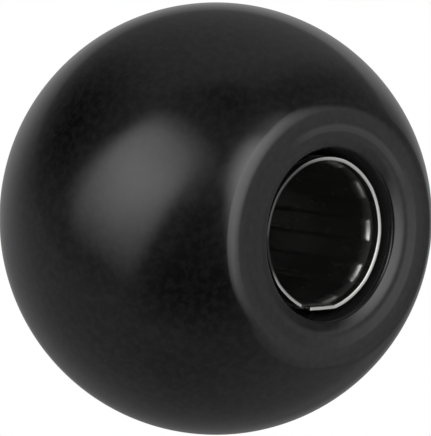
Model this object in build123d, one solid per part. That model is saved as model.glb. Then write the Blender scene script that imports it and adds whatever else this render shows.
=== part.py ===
from build123d import *
from math import cos, pi, sin, sqrt
import os

# A ball knob that stands on its flat, mouth down: z = 0 is the flat and the ball's axis is Z.
# Lengths are millimetres and angles are degrees.

# the moulded ball
ball_diameter = 25.0
flat_diameter = 15.0  # where the flat cuts the ball, before the rim is rounded
rim_rounding = 1.4
mouth_rounding = 1.2
inner_land_width = 0.28  # level ring round the mouth
land_slope_width = 0.55  # from the inner land out to the outer one
land_step = 0.04  # the inner land lies this much deeper than the outer one
bore_depth = 15.0
bore_end_bevel = 0.6

# the shaft that the knob is pushed on to
shaft_diameter = 8.0

# the clamping sleeve: a waved strip of spring steel, cut to length and rolled to a split ring
strip_thickness = 0.2
wave_rise = 0.2  # how far the crests stand in from the plain bands
wave_pitch = 2.66  # along the strip
crest_width = 1.05
flank_width = 0.26
first_wave = 2.27  # from one end of the strip to the middle of its first wave
least_last_end = 1.5  # from the middle of the last wave to the other end, at least
plain_band = 0.55  # unwaved strip along each edge
ramp_length = 0.8
ramp_knee = 0.7  # share of the rise that the steeper first half of a ramp climbs
slit_width = 0.7
slit_direction = 180.0
sleeve_recess = 0.7  # from the flat to the sleeve's front edge
sleeve_end_gap = 0.2  # from the sleeve's other edge to the bevel of the bore's end
seat_clearance = 0.02

# radii and lengths that follow from them
ball_radius = ball_diameter / 2
centre_height = sqrt(ball_radius**2 - (flat_diameter / 2) ** 2)
band_radius = shaft_diameter / 2 + wave_rise
sleeve_radius = band_radius + strip_thickness
middle_radius = (band_radius + sleeve_radius) / 2
strip_length = 2 * pi * middle_radius - slit_width
wave_count = int((strip_length - first_wave - least_last_end) / wave_pitch) + 1
seat_radius = sleeve_radius + seat_clearance
inner_land_radius = seat_radius + mouth_rounding + inner_land_width
sleeve_length = bore_depth - bore_end_bevel - sleeve_end_gap - sleeve_recess


def make_ball():
    """The half section beside the axis, turned once round it."""
    disc = Pos(0, centre_height) * Circle(ball_radius)
    kept_half = Pos(ball_radius, ball_radius) * Rectangle(ball_diameter, ball_diameter)
    section = disc & kept_half
    rim = section.vertices().group_by(Axis.Y)[0].sort_by(Axis.X)[-1]
    section = fillet(rim, rim_rounding)

    # the lands: the inner one lies deeper and runs out to the other by a shallow slope
    slope = [(inner_land_radius + land_slope_width, 0), (inner_land_radius, land_step)]
    section -= Polygon((0, 0), *slope, (0, land_step), align=None)

    bore = Pos(seat_radius / 2, bore_depth / 2) * Rectangle(seat_radius, bore_depth)
    bore_end = bore.vertices().group_by(Axis.Y)[-1].sort_by(Axis.X)[-1]
    section -= chamfer(bore_end, bore_end_bevel)
    mouth = section.vertices().sort_by_distance((seat_radius, land_step))[0]
    section = fillet(mouth, mouth_rounding)
    return revolve(Plane.XZ * section, Axis.Z)


def at(radius, along):
    """A point of the rolled strip, which runs clockwise from the slit, seen from the crown."""
    angle = (slit_width / 2 + along) / middle_radius
    return (radius * cos(angle), -radius * sin(angle))


def strip_corners(radius, rise):
    """One face of the strip, end to end, as (distance along it, radius)."""
    corners = [(0, radius)]
    for wave in range(wave_count):
        middle = first_wave + wave_pitch * wave
        top, foot = crest_width / 2, crest_width / 2 + flank_width
        corners += [(middle - foot, radius), (middle - top, radius - rise)]
        corners += [(middle + top, radius - rise), (middle + foot, radius)]
    return corners + [(strip_length, radius)]


def strip_side(corners):
    """The line through the corners: arcs round the axis, joined by straight flanks."""
    side = []
    for (along, radius), (next_along, next_radius) in zip(corners, corners[1:]):
        ends = [at(radius, along), at(next_radius, next_along)]
        if radius == next_radius:
            side.append(ThreePointArc(ends[0], at(radius, (along + next_along) / 2), ends[1]))
        else:
            side.append(Line(*ends))
    return side


def strip_section(height, rise):
    inner, outer = strip_corners(band_radius, rise), strip_corners(sleeve_radius, rise)
    ends = [Line(at(band_radius, along), at(sleeve_radius, along)) for along in (0, strip_length)]
    face = make_face(strip_side(inner) + strip_side(outer) + ends)
    return Pos(0, 0, height) * face


def make_sleeve():
    """Sections from the front edge to the back one: plain band, ramp, waves, ramp, plain band."""
    ramp_start, ramp_end = plain_band, plain_band + ramp_length
    knee = (ramp_start + ramp_end) / 2
    front = [(0, 0), (ramp_start, 0), (knee, wave_rise * ramp_knee), (ramp_end, wave_rise)]
    back = [(sleeve_length - height, rise) for height, rise in reversed(front)]
    sleeve = loft([strip_section(*step) for step in front + back], ruled=True)
    return Pos(0, 0, sleeve_recess) * Rot(0, 0, slit_direction) * sleeve


os.makedirs("parts", exist_ok=True)
export_step(make_ball(), "parts/ball.step")
export_step(make_sleeve(), "parts/clamping_sleeve.step")
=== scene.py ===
from math import atan2, cos, pi, radians, sin, sqrt, tan

import bmesh
import bpy
from mathutils import Matrix, Vector


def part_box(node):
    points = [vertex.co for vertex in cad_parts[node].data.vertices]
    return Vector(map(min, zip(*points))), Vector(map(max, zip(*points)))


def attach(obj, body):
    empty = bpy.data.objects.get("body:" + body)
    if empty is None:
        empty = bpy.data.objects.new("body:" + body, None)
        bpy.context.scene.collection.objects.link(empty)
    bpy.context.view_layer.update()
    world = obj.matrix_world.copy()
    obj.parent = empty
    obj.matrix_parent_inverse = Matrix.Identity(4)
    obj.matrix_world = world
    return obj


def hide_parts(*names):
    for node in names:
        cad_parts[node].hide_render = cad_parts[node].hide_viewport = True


# A ball knob: a glossy black moulding with a split, waved sleeve of spring steel in its bore.
# It stands on its flat, mouth down. The photograph looks up at the mouth from below.

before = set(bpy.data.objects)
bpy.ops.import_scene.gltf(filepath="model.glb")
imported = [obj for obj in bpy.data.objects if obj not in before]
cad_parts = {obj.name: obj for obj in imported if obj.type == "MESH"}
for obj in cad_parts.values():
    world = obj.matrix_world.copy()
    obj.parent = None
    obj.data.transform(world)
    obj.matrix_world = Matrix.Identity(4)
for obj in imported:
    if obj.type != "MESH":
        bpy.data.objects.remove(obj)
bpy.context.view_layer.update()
mm = 0.001

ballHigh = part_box("ball")[1]
sleeveLow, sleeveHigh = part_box("clamping_sleeve")
ballRadius = ballHigh.x
ballCentre = Vector((0, 0, ballHigh.z - ballRadius))


# the camera: how the photograph stands to the ball

cameraSetup = {
    "mouthTurn": 42.0,  # degrees from the mouth's axis to the line of sight
    "mouthRoll": 8.1,  # degrees that the mouth lies below the level of the ball's centre
    "nearSide": 81.8,  # world direction, in degrees, of the mouth's right-hand side in the picture
    "distance": 25.0,  # in ball radii
    "ballInPicture": 216.3,  # the ball's radius, in pixels
    "centreInPicture": (215.7, 218.6),  # of the ball, in pixels
    "pictureSize": (431, 436),
    "sensor": 36.0,
}


def photographAxes():
    turn, roll = radians(cameraSetup["mouthTurn"]), radians(cameraSetup["mouthRoll"])
    near = radians(cameraSetup["nearSide"])
    out = Vector((0, 0, -1))  # out of the mouth
    side = Vector((cos(near), sin(near), 0))
    below = side.cross(out)
    right = side * cos(turn) * cos(roll) - below * sin(roll) + out * sin(turn) * cos(roll)
    back = out * cos(turn) - side * sin(turn)
    return right, back.cross(right), back


def makeCamera():
    right, up, back = photographAxes()
    width, height = cameraSetup["pictureSize"]
    distance = cameraSetup["distance"]
    pixelsPerUnit = cameraSetup["ballInPicture"] * sqrt(distance**2 - 1)
    lens = bpy.data.cameras.new("photographCamera")
    lens.sensor_width = cameraSetup["sensor"]
    lens.lens = pixelsPerUnit * cameraSetup["sensor"] / max(width, height)
    lens.shift_x = (width / 2 - cameraSetup["centreInPicture"][0]) / max(width, height)
    lens.shift_y = (cameraSetup["centreInPicture"][1] - height / 2) / max(width, height)
    lens.clip_start = 0.01
    camera = bpy.data.objects.new("photographCamera", lens)
    turned = Matrix((right, up, back)).transposed().to_4x4()
    camera.matrix_world = Matrix.Translation(ballCentre + back * ballRadius * distance) @ turned
    bpy.context.scene.collection.objects.link(camera)
    bpy.context.scene.camera = camera
    return turned


# shader maths as plain expressions

class Wire:
    def __init__(self, finish, socket):
        self.finish, self.socket = finish, socket

    def maths(self, operation, *values):
        return self.finish.node("ShaderNodeMath", {"operation": operation}, *values)

    def __add__(self, other):
        return self.maths("ADD", self, other)

    def __sub__(self, other):
        return self.maths("SUBTRACT", self, other)

    def __rsub__(self, other):
        return self.maths("SUBTRACT", other, self)

    def __mul__(self, other):
        return self.maths("MULTIPLY", self, other)

    def __truediv__(self, other):
        return self.maths("DIVIDE", self, other)

    def __pow__(self, other):
        return self.maths("POWER", self, other)

    def __gt__(self, other):
        return self.maths("GREATER_THAN", self, other)

    __radd__ = __add__
    __rmul__ = __mul__

    def root(self):
        return self.maths("SQRT", self)

    def size(self):
        return self.maths("ABSOLUTE", self)

    def atLeast(self, other):
        return self.maths("MAXIMUM", self, other)

    def ramp(self, low, high, start=0.0, end=1.0):
        settings = {"interpolation_type": "SMOOTHSTEP"}
        return self.finish.node("ShaderNodeMapRange", settings, self, low, high, start, end)


class Finish:
    def __init__(self, name, world=None):
        self.owner = world or bpy.data.materials.new(name)
        self.owner.use_nodes = True
        self.tree = self.owner.node_tree
        self.tree.nodes.clear()

    def node(self, kind, settings=None, *values, output=0, **named):
        made = self.tree.nodes.new(kind)
        for name, value in (settings or {}).items():
            setattr(made, name, value)
        for place, value in list(enumerate(values)) + list(named.items()):
            name = place if isinstance(place, int) else place.replace("_", " ")
            if isinstance(value, Wire):
                self.tree.links.new(value.socket, made.inputs[name])
            elif value is not None:
                made.inputs[name].default_value = value
        return Wire(self, made.outputs[output]) if made.outputs else made

    def objectCoordinates(self):
        return self.node("ShaderNodeTexCoord", output="Object")

    def inMillimetres(self):
        settings = {"operation": "SCALE"}
        return self.node("ShaderNodeVectorMath", settings, self.objectCoordinates(), Scale=1 / mm)

    def split(self, vector):
        first = self.node("ShaderNodeSeparateXYZ", None, vector)
        return [Wire(self, socket) for socket in first.socket.node.outputs]

    def join(self, x, y, z):
        return self.node("ShaderNodeCombineXYZ", None, x, y, z)

    def noise(self, vector, scale, detail=2.0, roughness=0.5):
        return self.node("ShaderNodeTexNoise", {"normalize": True}, vector, Scale=scale,
                         Detail=detail, Roughness=roughness)

    def mix(self, share, first, second):
        settings = {"data_type": "RGBA"}
        return self.node("ShaderNodeMix", settings, share, None, None, None, None, None, first,
                         second, output=2)

    def finishWith(self, shader):
        self.node("ShaderNodeOutputMaterial", None, shader)
        return self.owner


# the stage: floor, tent and softboxes

stageSetup = {
    "floorSize": 3.0,  # metres
    "floorDrop": 0.00002,  # just under the flat
    "floorColour": (0.9, 0.9, 0.9, 1),
    "floorFade": (0.04, 0.2),  # from the middle, over which it turns into the white background
    "background": 1.0,  # white
    "ambient": 0.75,  # how strongly the world lights what isn't polished
    "lampStrength": 0.35,  # how much the lamp adds to a level white surface
    "lampPlace": (-0.12, -0.1, 0.45),
    "lampSize": 0.35,
    "tentRadius": 1.2,
    "tentLevel": 0.21,
    "sweepSlope": (-0.07, 0.43, 0),  # how the sweep behind the ball gets paler
    "sweepLevel": 0.28,
    "sweepLeast": 0.2,
    "sweepFrom": (-0.03, -0.703, -0.711),  # the sweep fills this side of the tent
    "sweepEdge": (0.17, 0.26),
}

# What is painted on the tent, in order, as the ball sees it. Each card lies on a plane square to
# one direction: "turn" goes round the picture, 0 to the right and 90 up, and "away" is the angle
# from the camera's direction. "out" and "round" are how far the card reaches from there to both
# sides, away from the camera's direction and round it, after "roll". All in degrees. "corners" is
# 2 for an oval and more for a squarer card, "soft" is the share that fades, and "lean" is how
# much brighter the card gets from its middle to its end. It never falls below "least", or 0.
cards = {
    "paleAbove": {"turn": 100, "away": 115, "roll": -40, "out": 50, "round": 50, "level": 0.25,
                  "lean": -0.25, "soft": 0.75, "corners": 2},
    "paleLeft": {"turn": 230, "away": 85, "roll": -10, "out": 75, "round": 40, "level": 0.25,
                 "lean": -0.05, "soft": 0.5, "corners": 2},
    "paleRight": {"turn": -55, "away": 100, "roll": -10, "out": 35, "round": 70, "level": 0.3,
                  "lean": 0.3, "soft": 1, "corners": 2},
    "darkCentre": {"turn": 225, "away": 10, "roll": 10, "out": 25, "round": 15, "level": 0.1,
                   "lean": 0.1, "soft": 1, "corners": 2},
    "darkUpperLeft": {"turn": 155, "away": 110, "roll": -40, "out": 40, "round": 50, "level": 0.05,
                      "lean": 0.45, "soft": 1, "corners": 2},
    "darkLower": {"turn": 270, "away": 30, "roll": 20, "out": 40, "round": 55, "level": 0.05,
                  "lean": 0.1, "soft": 0.9, "corners": 2},
    "darkAbove": {"turn": 120, "away": 50, "roll": 15, "out": 25, "round": 50, "level": 0.3,
                  "lean": 0.4, "soft": 0.6, "corners": 2},
    "darkUpperRight": {"turn": 30, "away": 120, "roll": -35, "out": 80, "round": 25, "level": 0.15,
                       "lean": -0.1, "soft": 1, "corners": 2},
    "paleLowerRight": {"turn": -15, "away": 100, "roll": 25, "out": 10, "round": 30, "level": 0.45,
                       "lean": 0.05, "soft": 0.65, "corners": 2},
    "glowBetween": {"turn": 130, "away": 42, "roll": -75, "out": 25, "round": 32, "level": 1.8,
                    "lean": 1.0, "least": 0.1, "soft": 1, "corners": 3},
    "leftSoftbox": {"turn": 170, "away": 52, "roll": -25, "out": 28, "round": 44, "level": 1.0,
                    "lean": -0.9, "soft": 0.45, "corners": 5},
    "leftCore": {"turn": 173, "away": 57, "roll": -35, "out": 33, "round": 44, "level": 1.8,
                 "lean": -3.5, "soft": 1, "corners": 3},
    "glowNearRight": {"turn": 0, "away": 28, "roll": 0, "out": 26, "round": 46, "level": 2.3,
                      "lean": 2.5, "soft": 0.5, "corners": 2},
    "rightSoftbox": {"turn": 10, "away": 48, "roll": 25, "out": 38, "round": 46, "level": 2.6,
                     "lean": 1.4, "least": 0.5, "soft": 0.9, "corners": 6},
    "darkEnd": {"turn": -40, "away": 80, "roll": -20, "out": 20, "round": 35, "level": 0.45,
                "lean": 0.15, "soft": 0.35, "corners": 2},
}


def directionOf(card):
    turn, away = radians(card["turn"]), radians(card["away"])
    return Vector((sin(away) * cos(turn), sin(away) * sin(turn), cos(away)))


def cardAxes(card):
    # the card's own axes: outwards from the camera's direction, and round it
    facing = directionOf(card)
    outwards = directionOf({"turn": card["turn"], "away": card["away"] + 90})
    turned = Matrix.Rotation(radians(card["roll"]), 3, facing)
    outwards = turned @ outwards
    return outwards, facing.cross(outwards), facing


def makeWorld():
    world = bpy.data.worlds.new("studio")
    bpy.context.scene.world = world
    finish = Finish("studio", world)
    path = finish.node("ShaderNodeLightPath").socket.node.outputs
    seen = [Wire(finish, path[name]) for name in
            ("Is Camera Ray", "Is Glossy Ray", "Is Transmission Ray")]
    isSeen = seen[0].atLeast(seen[1]).atLeast(seen[2])
    ambient, background = stageSetup["ambient"], stageSetup["background"]
    strength = isSeen * (background - ambient) + ambient
    light = finish.node("ShaderNodeBackground", None, (1, 1, 1, 1), strength)
    finish.node("ShaderNodeOutputWorld", None, light)


def addStage(name, bm, material):
    mesh = bpy.data.meshes.new(name)
    bm.to_mesh(mesh)
    bm.free()
    mesh.materials.append(material)
    made = bpy.data.objects.new(name, mesh)
    bpy.context.scene.collection.objects.link(made)
    return made


def makeFloor():
    # seen from above it is a pale floor with the knob's shadow; from below it isn't there
    finish = Finish("paleFloor")
    pale = finish.node("ShaderNodeBsdfDiffuse", None, stageSetup["floorColour"])
    clear = finish.node("ShaderNodeBsdfTransparent")
    fromBelow = finish.node("ShaderNodeNewGeometry", output="Backfacing")
    x, y = finish.split(finish.objectCoordinates())[:2]
    fade = (x * x + y * y).root().ramp(*stageSetup["floorFade"])
    share = fromBelow.atLeast(fade)
    material = finish.finishWith(finish.node("ShaderNodeMixShader", None, share, pale, clear))
    bm = bmesh.new()
    bmesh.ops.create_grid(bm, x_segments=1, y_segments=1, size=stageSetup["floorSize"] / 2)
    bmesh.ops.translate(bm, verts=bm.verts, vec=(0, 0, -stageSetup["floorDrop"]))
    floor = addStage("floor", bm, material)
    floor.visible_diffuse = floor.visible_glossy = floor.visible_shadow = False


def makeLamp():
    # a soft lamp overhead, for the shadow on the floor
    lamp = bpy.data.lights.new("overheadLamp", "AREA")
    lamp.size = stageSetup["lampSize"]
    lamp.energy = stageSetup["lampStrength"] * pi * stageSetup["lampPlace"][2] ** 2 * pi
    made = bpy.data.objects.new("overheadLamp", lamp)
    made.location = stageSetup["lampPlace"]
    made.rotation_euler = (ballCentre - made.location).to_track_quat("-Z", "Y").to_euler()
    made.visible_camera = made.visible_glossy = False
    bpy.context.scene.collection.objects.link(made)


def tentMaterial():
    finish = Finish("tentPaint")
    settings = {"operation": "NORMALIZE"}
    fromBall = finish.node("ShaderNodeVectorMath", settings, finish.objectCoordinates())

    def along(direction):
        return finish.node("ShaderNodeVectorMath", {"operation": "DOT_PRODUCT"}, fromBall,
                           tuple(direction), output="Value")

    # behind and below the ball the tent is a sweep, paler towards the top
    level = stageSetup["tentLevel"]
    sweep = along(stageSetup["sweepSlope"]) + stageSetup["sweepLevel"]
    behind = along(stageSetup["sweepFrom"]).ramp(*stageSetup["sweepEdge"])
    painted = behind * (sweep.atLeast(stageSetup["sweepLeast"]) - level) + level
    for card in cards.values():
        outwards, around, facing = cardAxes(card)
        depth = along(facing)
        places = []
        for way, reach in ((outwards, card["out"]), (around, card["round"])):
            places.append(along(way) / depth.atLeast(0.02) / tan(radians(reach)))
        corners = card["corners"]
        fromMiddle = (places[0].size() ** corners + places[1].size() ** corners) ** (1 / corners)
        mask = (1 - fromMiddle.ramp(1 - card["soft"], 1)) * (depth > 0)
        cardLevel = (places[1] * card["lean"] + card["level"]).atLeast(card.get("least", 0.0))
        painted = mask * (cardLevel - painted) + painted
    return finish.finishWith(finish.node("ShaderNodeEmission", None, painted))


def makeTent(turned):
    # seen in reflections only; the world lights the plain surfaces
    bm = bmesh.new()
    bmesh.ops.create_icosphere(bm, subdivisions=5, radius=stageSetup["tentRadius"])
    tent = addStage("tent", bm, tentMaterial())
    tent.matrix_world = Matrix.Translation(ballCentre) @ turned
    tent.visible_camera = tent.visible_diffuse = tent.visible_shadow = False


# the moulded ball

ballSetup = {  # lengths in millimetres
    "rimRounding": 1.15,
    "slopeOuterRadius": 6.5,
    "slopeInnerRadius": 5.9,
    "flatDish": 0.012,  # how far the flat sinks from its rim to the slope
    "landStep": 0.075,
    "landDish": 0.006,
    "mouthRadius": 5.68,
    # from there inwards, arcs of this radius between these slopes in degrees
    "lipArcs": ((1.0, 0, 17), (2.6, 17, 25), (0.35, 36, 76)),
    "leadInDepth": 2.0,  # where the steep cone from there meets the bore
    "boreRadius": 4.42,
    "boreDepth": 15.0,
    "boreEndBevel": 0.6,
    "unevenness": 0.22,  # the inner lip was cut by hand, and stands this far inwards on one side
    "unevenSide": 246.0,  # degrees, in the world
    "unevenDepth": 1.2,  # and only down to here
    "unevenFade": (0.6, 0.35),  # from the mouth's edge and from the bore, over which it grows
    "cornerSoftening": 0.05,
    "creaseSoftening": 0.01,
    "levelling": 0.02,  # a close edge beside each rounding keeps the flats level in shading
    "stepsRound": 192,
    "ballSteps": 88,
    "rimSteps": 20,
    "lipSteps": 8,
    # the finish: fine haze and mottle, a turned flat, a machined mouth and bore, and a painted
    # highlight on one side of the slope
    "darkColour": (0.0028, 0.0028, 0.0029, 1),
    "paleColour": (0.0085, 0.0085, 0.0087, 1),
    # paler: wear in the mouth and bore, and the painted highlight on the slope
    "wearAndHighlightColour": (0.032, 0.032, 0.033, 1),
    "roughness": (0.09, 0.12),
    "flatRoughness": 0.05,  # more on the flat
    "machinedRoughness": 0.03,  # and more in the mouth and the bore
    "machinedWear": 0.35,
    "flatDepth": (0.05, 0.2),
    "flatReach": (7.0, 7.4),
    "machinedReach": (4.97, 5.01),
    "machinedDepth": (15.5, 16.0),
    "slopeHighlightRadius": 6.1,  # the slope between the lands is painted paler on one side: a painted highlight
    "slopeHighlightReach": (0.1, 0.3),
    "slopeHighlightSide": (0.6, 0.85),
    "bumpHeight": 0.0025,
}


def smooth(value, low, high):
    share = min(1.0, max(0.0, (value - low) / (high - low)))
    return share * share * (3 - 2 * share)


def arcFrom(bm, last, centre, degrees, steps):
    spun = bmesh.ops.spin(bm, geom=[last], cent=centre, axis=(0, 1, 0), angle=radians(degrees),
                          steps=steps, use_merge=False)
    return [item for item in spun["geom_last"] if isinstance(item, bmesh.types.BMVert)][0]


def lineTo(bm, last, across, up, steps=1):
    start, end = last.co.copy(), Vector((across, 0, up))
    for step in range(steps):
        last = bmesh.ops.extrude_vert_indiv(bm, verts=[last])["verts"][0]
        last.co = start.lerp(end, (step + 1) / steps)
    return last


def makeBall():
    shape = ballSetup
    rim, bore = shape["rimRounding"] * mm, shape["boreRadius"] * mm
    rimOut = sqrt((ballRadius - rim) ** 2 - (ballCentre.z - rim) ** 2)
    rimTurn = atan2(rimOut, ballCentre.z - rim) * 180 / pi
    step, mouth = shape["landStep"] * mm, shape["mouthRadius"] * mm
    depth, bevel = shape["boreDepth"] * mm, shape["boreEndBevel"] * mm
    near = shape["levelling"] * mm

    bm = bmesh.new()
    last = bm.verts.new((0, 0, ballHigh.z))
    last = arcFrom(bm, last, ballCentre, 180 - rimTurn, shape["ballSteps"])
    last = arcFrom(bm, last, (rimOut, 0, rim), rimTurn, shape["rimSteps"])
    last = lineTo(bm, last, rimOut - near, 0)
    corners = [lineTo(bm, last, shape["slopeOuterRadius"] * mm, shape["flatDish"] * mm)]
    corners.append(lineTo(bm, corners[-1], shape["slopeInnerRadius"] * mm, step))
    step += shape["landDish"] * mm
    last = lineTo(bm, corners[-1], mouth + near, step)
    last = lineTo(bm, last, mouth, step)
    creases = []
    for radius, low, high in shape["lipArcs"]:
        towards = Vector((sin(radians(low)), 0, cos(radians(low))))
        centre = last.co + towards * radius * mm
        last = arcFrom(bm, last, centre, high - low, shape["lipSteps"])
        creases.append(last)
    last = lineTo(bm, last, bore, shape["leadInDepth"] * mm)
    corners.append(lineTo(bm, last, bore, depth - bevel))
    corners.append(lineTo(bm, corners[-1], bore - bevel, depth))
    lineTo(bm, corners[-1], 0, depth)
    for rounded, size in ((corners, shape["cornerSoftening"]),
                          (creases[1:], shape["creaseSoftening"])):
        bmesh.ops.bevel(bm, geom=rounded, offset=size * mm, offset_type="OFFSET", segments=4,
                        profile=0.5, affect="VERTICES", material=-1)
    bmesh.ops.spin(bm, geom=bm.verts[:] + bm.edges[:], cent=(0, 0, 0), axis=(0, 0, 1),
                   angle=2 * pi, steps=shape["stepsRound"], use_merge=True)
    bmesh.ops.remove_doubles(bm, verts=bm.verts, dist=1e-7)
    uneven, lipDepth = radians(shape["unevenSide"]), shape["unevenDepth"] * mm
    fromMouth, fromBore = shape["unevenFade"]
    for vert in bm.verts:
        fromAxis = vert.co.xy.length
        if bore < fromAxis < mouth and vert.co.z < lipDepth:
            share = max(0, cos(atan2(vert.co.y, vert.co.x) - uneven)) ** 3
            share *= smooth(mouth - fromAxis, 0, fromMouth * mm)
            share *= smooth(fromAxis - bore, 0, fromBore * mm)
            vert.co.xy *= 1 - shape["unevenness"] * mm * share / fromAxis
    bmesh.ops.recalc_face_normals(bm, faces=bm.faces)
    addPiece("ballMoulding", bm, blackMoulding(), "ball")


def blackMoulding():
    look = ballSetup
    finish = Finish("blackMoulding")
    place = finish.inMillimetres()
    x, y, z = finish.split(place)
    fromAxis = (x * x + y * y).root()
    onFlat = (1 - z.ramp(*look["flatDepth"])) * (1 - fromAxis.ramp(*look["flatReach"]))
    machined = 1 - fromAxis.ramp(*look["machinedReach"])
    machined = machined * (1 - z.ramp(*look["machinedDepth"]))

    haze = finish.noise(place, 0.35, 4)
    peel = finish.noise(place, 1.1, 2)
    mottle = finish.noise(place, 2.4, 3, 0.6)
    turned = finish.noise(finish.join(fromAxis, 0.0, 0.0), 9.0, 3, 0.7)
    roughness = haze.ramp(0.3, 0.7, *look["roughness"]) + onFlat * look["flatRoughness"]
    roughness = roughness + machined * look["machinedRoughness"]
    height = peel * 0.35 + mottle * 0.3 + turned * onFlat * 0.6
    bump = finish.node("ShaderNodeBump", None, Strength=1.0, Distance=look["bumpHeight"] * mm,
                       Height=height)
    colour = finish.mix(mottle.ramp(0.35, 0.7), look["darkColour"], look["paleColour"])
    # painted highlight: one side of the slope between the lands is painted paler, with the turned
    # pattern; the machined mouth and bore are paler with wear
    fromSlopeHighlight = (fromAxis - look["slopeHighlightRadius"]).size()
    paintedSlopeHighlight = (1 - fromSlopeHighlight.ramp(*look["slopeHighlightReach"])) * (x / fromAxis).ramp(*look["slopeHighlightSide"])
    paintedSlopeHighlight = paintedSlopeHighlight * onFlat * turned.ramp(0.3, 0.6, 0.7, 1.0)
    wearAndHighlight = paintedSlopeHighlight.atLeast(machined * look["machinedWear"])
    colour = finish.mix(wearAndHighlight, colour, look["wearAndHighlightColour"])
    body = finish.node("ShaderNodeBsdfPrincipled", None, colour, Roughness=roughness, IOR=1.52,
                       Normal=bump)
    return finish.finishWith(body)


# the clamping sleeve

sleeveSetup = {  # lengths in millimetres
    "bandRadius": 4.2,  # inner face of the plain bands, from the axis
    "thickness": 0.2,
    "waveRise": 0.2,
    "wavePitch": 2.66,
    "crestWidth": 1.05,
    "flankWidth": 0.26,
    "firstWave": 2.27,  # along the strip, from its start
    "waveCount": 9,
    "plainBand": 0.67,
    "rampLength": 0.9,
    "steepLength": 0.15,  # the steep first part of a ramp
    "steepShare": 0.45,  # how much of the rise it climbs
    "firstBend": 1.9,  # the ring isn't quite round: it bends here along the strip
    "bendPitch": 2.78,  # and after each such length
    "flattening": 0.02,  # halfway between the bends it lies this far inwards
    "endFlattenings": (0.09, 0.04),  # and this far halfway to its start and its end
    "slit": 0.7,
    "slitDirection": 180.0,  # degrees, in the world
    "edgeSlope": 0.03,  # how much deeper the inner side of the front edge lies
    "innerEdge": 0.05,  # roundings of the sheared edges
    "outerEdge": 0.006,
    "stepsAlong": 440,
    "fineSteps": 30,  # across each waved end of the strip, which takes waveEnds
    "waveEnds": 1.5,
    "plainSteps": 20,
    "seam": 0.08,  # radians before the strip's start that still belong to it
    # the finish: bright rolled steel, painted paler where the waves start as a painted highlight,
    # with painted shade on part of the edge
    "darkFace": (0.4, 0.398, 0.39, 1),
    "paleFace": (0.45, 0.448, 0.438, 1),
    # painted highlight: the steel is painted paler where the waves start
    "rampHighlightColour": (0.8, 0.8, 0.79, 1),
    "edgeColour": (0.48, 0.48, 0.47, 1),
    # painted shade: part of the sheared edge is painted dark
    "shadeColour": (0.0, 0.0, 0.0, 1),
    "rampHighlightFrom": (0.5, 0.56),  # from the strip's edge
    "rampHighlightTo": (0.7, 1.5),
    "edgeWidth": 0.08,
    "paintedShades": ((13.5, 17.0, 0.75), (20.6, 21.4, 0.17)),  # each grows from, to and by how much
    "paintedShadeEnd": (22.9, 24.2),
    "roughness": (0.24, 0.28),
    "edgeRoughness": 0.1,  # more on the sheared edge
    "rampHighlightRoughness": 0.08,
    "grainHeight": 0.00015,
}


def waveAt(along):
    # 1 on the crest of a wave, 0 between the waves
    shape = sleeveSetup
    top, foot = shape["crestWidth"] / 2, shape["crestWidth"] / 2 + shape["flankWidth"]
    number = round((along - shape["firstWave"]) / shape["wavePitch"])
    number = min(max(number, 0), shape["waveCount"] - 1)
    fromCrest = abs(along - shape["firstWave"] - shape["wavePitch"] * number)
    return 1 - smooth(fromCrest, top, foot)


def rampAt(fromStart):
    shape = sleeveSetup
    steep, share, length = shape["steepLength"], shape["steepShare"], shape["rampLength"]
    if fromStart < steep:
        return share * max(0.0, fromStart) / steep
    left = 1 - min(1.0, (fromStart - steep) / (length - steep))
    return 1 - (1 - share) * left ** 4


def flatteningAt(along, length):
    shape = sleeveSetup
    first, pitch = shape["firstBend"], shape["bendPitch"]
    last = first + pitch * (shape["waveCount"] - 1)
    if first <= along <= last:
        share = (along - first) / pitch % 1
        return shape["flattening"] * 4 * share * (1 - share)
    if along < first:
        share, most = along / first, shape["endFlattenings"][0]
    else:
        share, most = (length - along) / (length - last), shape["endFlattenings"][1]
    return most * 4 * share * (1 - share)


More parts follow.
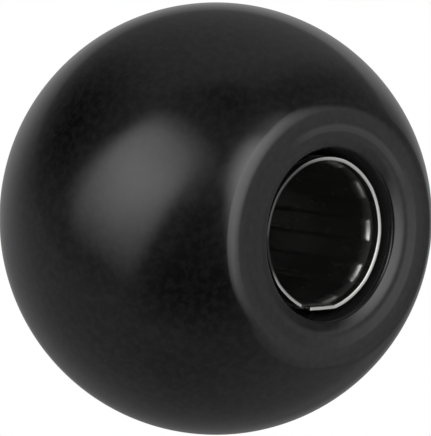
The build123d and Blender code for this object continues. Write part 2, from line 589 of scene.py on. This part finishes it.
def makeSleeve():
    shape = sleeveSetup
    inner, thickness = shape["bandRadius"], shape["thickness"]
    middleRadius = inner + thickness / 2
    length = 2 * pi * middleRadius - shape["slit"]
    low, high = sleeveLow.z / mm, sleeveHigh.z / mm
    start = radians(shape["slitDirection"]) - shape["slit"] / 2 / middleRadius

    # the section of the strip, spun round the axis as a plain split ring
    bm = bmesh.new()
    strip = bm.loops.layers.uv.new("strip")
    inside, outside, slope = shape["innerEdge"], shape["outerEdge"], shape["edgeSlope"]
    outer = inner + thickness
    waveEnds, fine, plain = shape["waveEnds"], shape["fineSteps"], shape["plainSteps"]
    last = bm.verts.new((inner * mm, 0, (low + inside) * mm))
    last = lineTo(bm, last, inner * mm, (low + waveEnds) * mm, fine)
    last = lineTo(bm, last, inner * mm, (high - waveEnds) * mm, plain)
    last = lineTo(bm, last, inner * mm, (high - inside) * mm, fine)
    last = arcFrom(bm, last, Vector((inner + inside, 0, high - inside)) * mm, 90, 4)
    last = lineTo(bm, last, (outer - outside) * mm, high * mm)
    last = arcFrom(bm, last, Vector((outer - outside, 0, high - outside)) * mm, 90, 2)
    last = lineTo(bm, last, outer * mm, (high - waveEnds) * mm, fine)
    last = lineTo(bm, last, outer * mm, (low + waveEnds) * mm, plain)
    last = lineTo(bm, last, outer * mm, (low + outside) * mm, fine)
    last = arcFrom(bm, last, Vector((outer - outside, 0, low + outside)) * mm, 90, 2)
    last = lineTo(bm, last, (inner + inside) * mm, low * mm)
    last = arcFrom(bm, last, Vector((inner + inside, 0, low + inside)) * mm, 90, 4)
    bmesh.ops.remove_doubles(bm, verts=bm.verts, dist=1e-7)
    bmesh.ops.rotate(bm, verts=bm.verts, cent=(0, 0, 0), matrix=Matrix.Rotation(start, 3, "Z"))
    bmesh.ops.spin(bm, geom=bm.verts[:] + bm.edges[:], cent=(0, 0, 0), axis=(0, 0, -1),
                   angle=length / middleRadius, steps=shape["stepsAlong"], use_merge=False)
    ends = [edge for edge in bm.edges if edge.is_boundary]
    caps = bmesh.ops.edgeloop_fill(bm, edges=ends)["faces"]
    bmesh.ops.recalc_face_normals(bm, faces=bm.faces)
    for cap in caps:
        bmesh.ops.bevel(bm, geom=cap.edges[:], offset=outside * mm, offset_type="OFFSET",
                        segments=2, profile=0.5, affect="EDGES", material=-1)

    # then each point moves to its wave, and keeps its place on the strip for the material
    places = {}
    for vert in bm.verts:
        turned = (start - atan2(vert.co.y, vert.co.x)) % (2 * pi)
        along = turned * middleRadius if turned < 2 * pi - shape["seam"] else 0.0
        across = vert.co.z / mm - low
        outwards = (vert.co.xy.length / mm - inner) / thickness
        if across < inside + slope:
            vert.co.z += slope * (1 - outwards) * (1 - across / (inside + slope)) * mm
        places[vert] = (along, across)
        fromEdge = min(across, high - low - across) - shape["plainBand"]
        rise = waveAt(along) * rampAt(fromEdge)
        inwards = shape["waveRise"] * rise + flatteningAt(along, length) * (1 - rise)
        radius = vert.co.xy.length
        vert.co.xy *= (radius - inwards * mm) / radius
    for face in bm.faces:
        for loop in face.loops:
            loop[strip].uv = places[loop.vert]
    addPiece("sleeveStrip", bm, springSteel(), "clamping_sleeve")


def springSteel():
    look = sleeveSetup
    finish = Finish("springSteel")
    strip = finish.node("ShaderNodeUVMap", {"uv_map": "strip"})
    along, across = finish.split(strip)[:2]
    grain = finish.noise(finish.join(along, across * 0.3, 0.0), 2.0, 3)
    tone = finish.noise(strip, 0.8, 3)
    face = finish.mix(tone.ramp(0.3, 0.7), look["darkFace"], look["paleFace"])
    # painted highlight: the steel is painted paler along the band where the waves start
    paintedRampHighlight = across.ramp(*look["rampHighlightFrom"]) * (1 - across.ramp(*look["rampHighlightTo"]))
    face = finish.mix(paintedRampHighlight, face, look["rampHighlightColour"])

    # the sheared edge is brighter, but painted dark with shade for about a third of its length
    atEdge = 1 - across.ramp(0.0, look["edgeWidth"])
    first, second = [along.ramp(low, high, 0, much) for low, high, much in look["paintedShades"]]
    paintedShade = (first + second) * (1 - along.ramp(*look["paintedShadeEnd"]))
    edge = finish.mix(paintedShade, look["edgeColour"], look["shadeColour"])
    colour = finish.mix(atEdge, face, edge)
    bump = finish.node("ShaderNodeBump", None, Strength=1.0, Distance=look["grainHeight"] * mm,
                       Height=grain)
    roughness = grain.ramp(0.2, 0.8, *look["roughness"]) + atEdge * look["edgeRoughness"]
    roughness = roughness + paintedRampHighlight * look["rampHighlightRoughness"]
    body = finish.node("ShaderNodeBsdfPrincipled", None, colour, Metallic=1.0,
                       Roughness=roughness, Normal=bump)
    return finish.finishWith(body)


def addPiece(name, bm, material, node):
    for face in bm.faces:
        face.smooth = True
    mesh = bpy.data.meshes.new(name)
    bm.to_mesh(mesh)
    bm.free()
    mesh.materials.append(material)
    piece = bpy.data.objects.new(name, mesh)
    bpy.context.scene.collection.objects.link(piece)
    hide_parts(node)
    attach(piece, "root")
    print(name, len(mesh.polygons), "faces")


bpy.context.scene.view_settings.view_transform = "Standard"
turned = makeCamera()
makeWorld()
makeFloor()
makeLamp()
makeTent(turned)
print("stage is set")
makeBall()
makeSleeve()
